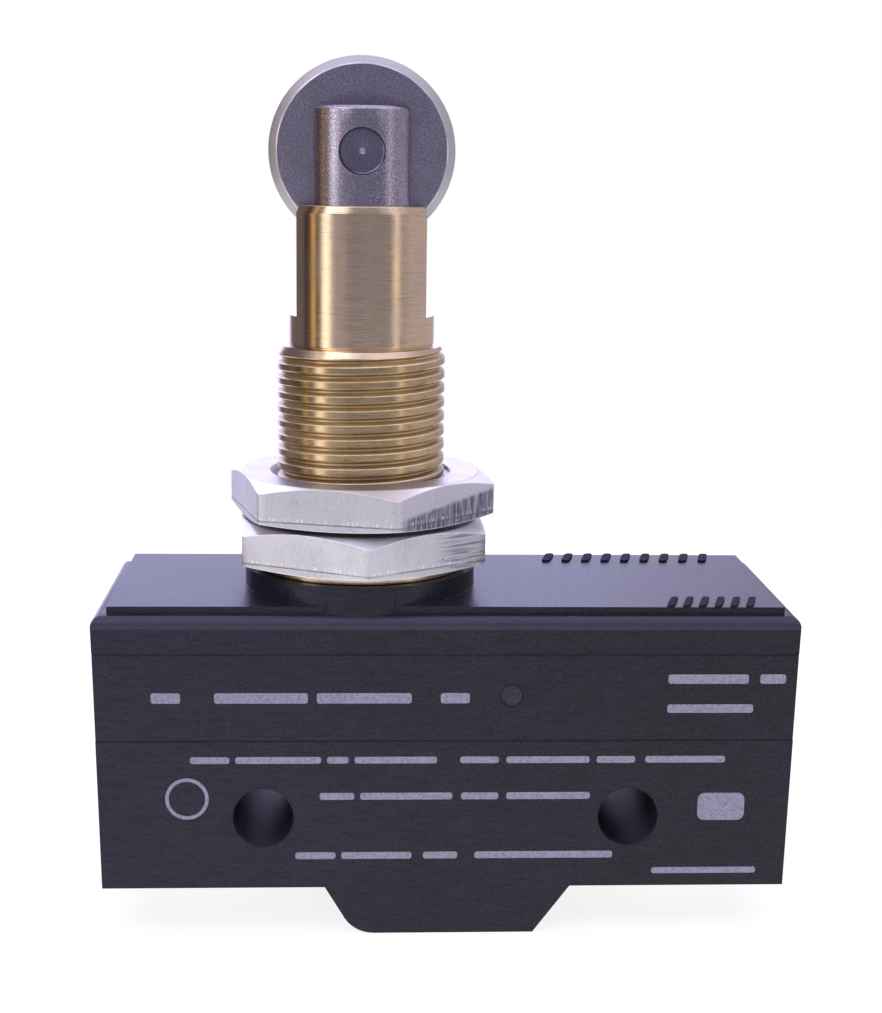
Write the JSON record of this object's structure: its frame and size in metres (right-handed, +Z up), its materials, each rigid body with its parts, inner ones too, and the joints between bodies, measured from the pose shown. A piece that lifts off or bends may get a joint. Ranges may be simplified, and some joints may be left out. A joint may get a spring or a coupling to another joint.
{
  "type": "limit switch",
  "caption": "Snap-action limit switch: black moulded case, brass panel-mount bushing with two lock nuts, and a sprung plunger that carries a cross roller.",
  "frame": {"origin": "middle of the case in width and depth, at the foot of the centre barrier on the under side", "axes": "+Z up along the plunger, +X along the case from the plunger's end towards the end terminal, +Y from the front face to the back face"},
  "size_m": [0.0486, 0.0196, 0.0604],
  "materials": {
    "moulding": "satin thermoset moulding",
    "brass": "turned, bright",
    "nickel_plate": "bright nickel plate with tool marks",
    "roller_steel": "fine ground and hardened",
    "plunger_steel": "turned, satin",
    "pin_steel": "dark hardened",
    "spring_steel": "drawn wire",
    "blade_copper": "rolled strip",
    "contact_silver": "satin silver",
    "guide_plastic": "natural moulding",
    "button_plastic": "red-brown moulding"
  },
  "bodies": {
    "case": {"case_base": "moulding", "case_middle": "moulding", "case_cover": "moulding", "cross_pin": "nickel_plate", "mounting_bushing": "brass", "bushing_retainer": "spring_steel", "rod_guide": "guide_plastic", "blade_support": "brass", "common_terminal": "brass", "normally_open_terminal": "brass", "normally_closed_terminal": "brass", "normally_open_contact": "contact_silver", "normally_closed_contact": "contact_silver"},
    "lower_nut": {"lower_lock_nut": "nickel_plate"},
    "upper_nut": {"upper_lock_nut": "nickel_plate"},
    "plunger": {"roller_plunger": "plunger_steel", "roller_pin": "pin_steel", "overtravel_spring": "spring_steel"},
    "roller": {"roller": "roller_steel"},
    "push_rod": {"push_rod": "spring_steel", "pin_plunger": "button_plastic"},
    "blade": {"contact_blade": "blade_copper", "snap_spring": "blade_copper", "moving_contact": "contact_silver"},
    "common_screw": {"common_screw": "nickel_plate", "common_washer": "nickel_plate"},
    "normally_open_screw": {"normally_open_screw": "nickel_plate", "normally_open_washer": "nickel_plate"},
    "normally_closed_screw": {"normally_closed_screw": "nickel_plate", "normally_closed_washer": "nickel_plate"}
  },
  "joints": [
    {"name": "lower_nut_slide", "type": "slide", "parent": "case", "child": "lower_nut", "axis": [0, 0, 1], "range_m": [0, 0.004]},
    {"name": "upper_nut_slide", "type": "slide", "parent": "lower_nut", "child": "upper_nut", "axis": [0, 0, 1], "range_m": [0, 0.0044]},
    {"name": "plunger_slide", "type": "slide", "parent": "case", "child": "plunger", "axis": [0, 0, -1], "range_m": [0, 0.0042], "stiffness_N_per_m": 600, "springref_m": -0.004, "deforming": ["overtravel_spring"]},
    {"name": "roller_spin", "type": "hinge", "parent": "plunger", "child": "roller", "pos_m": [-0.00605, 0, 0.054], "axis": [0, 1, 0], "continuous": true},
    {"name": "push_rod_slide", "type": "slide", "parent": "case", "child": "push_rod", "axis": [0, 0, -1], "range_m": [0, 0.00034]},
    {"name": "blade_pivot", "type": "hinge", "parent": "case", "child": "blade", "pos_m": [-0.019, 0, 0.01535], "axis": [0, 1, 0], "range_deg": [0, 1.5]},
    {"name": "common_screw_out", "type": "slide", "parent": "case", "child": "common_screw", "axis": [0, 0, -1], "range_m": [0, 0.0025]},
    {"name": "normally_open_screw_out", "type": "slide", "parent": "case", "child": "normally_open_screw", "axis": [0, 0, -1], "range_m": [0, 0.0025]},
    {"name": "normally_closed_screw_out", "type": "slide", "parent": "case", "child": "normally_closed_screw", "axis": [1, 0, 0], "range_m": [0, 0.0035]}
  ],
  "couplings": [
    {"joint": "push_rod_slide", "follows": "plunger_slide", "ratio": 0.08},
    {"joint": "blade_pivot", "follows": "plunger_slide", "rad_per_m": 6.17}
  ]
}
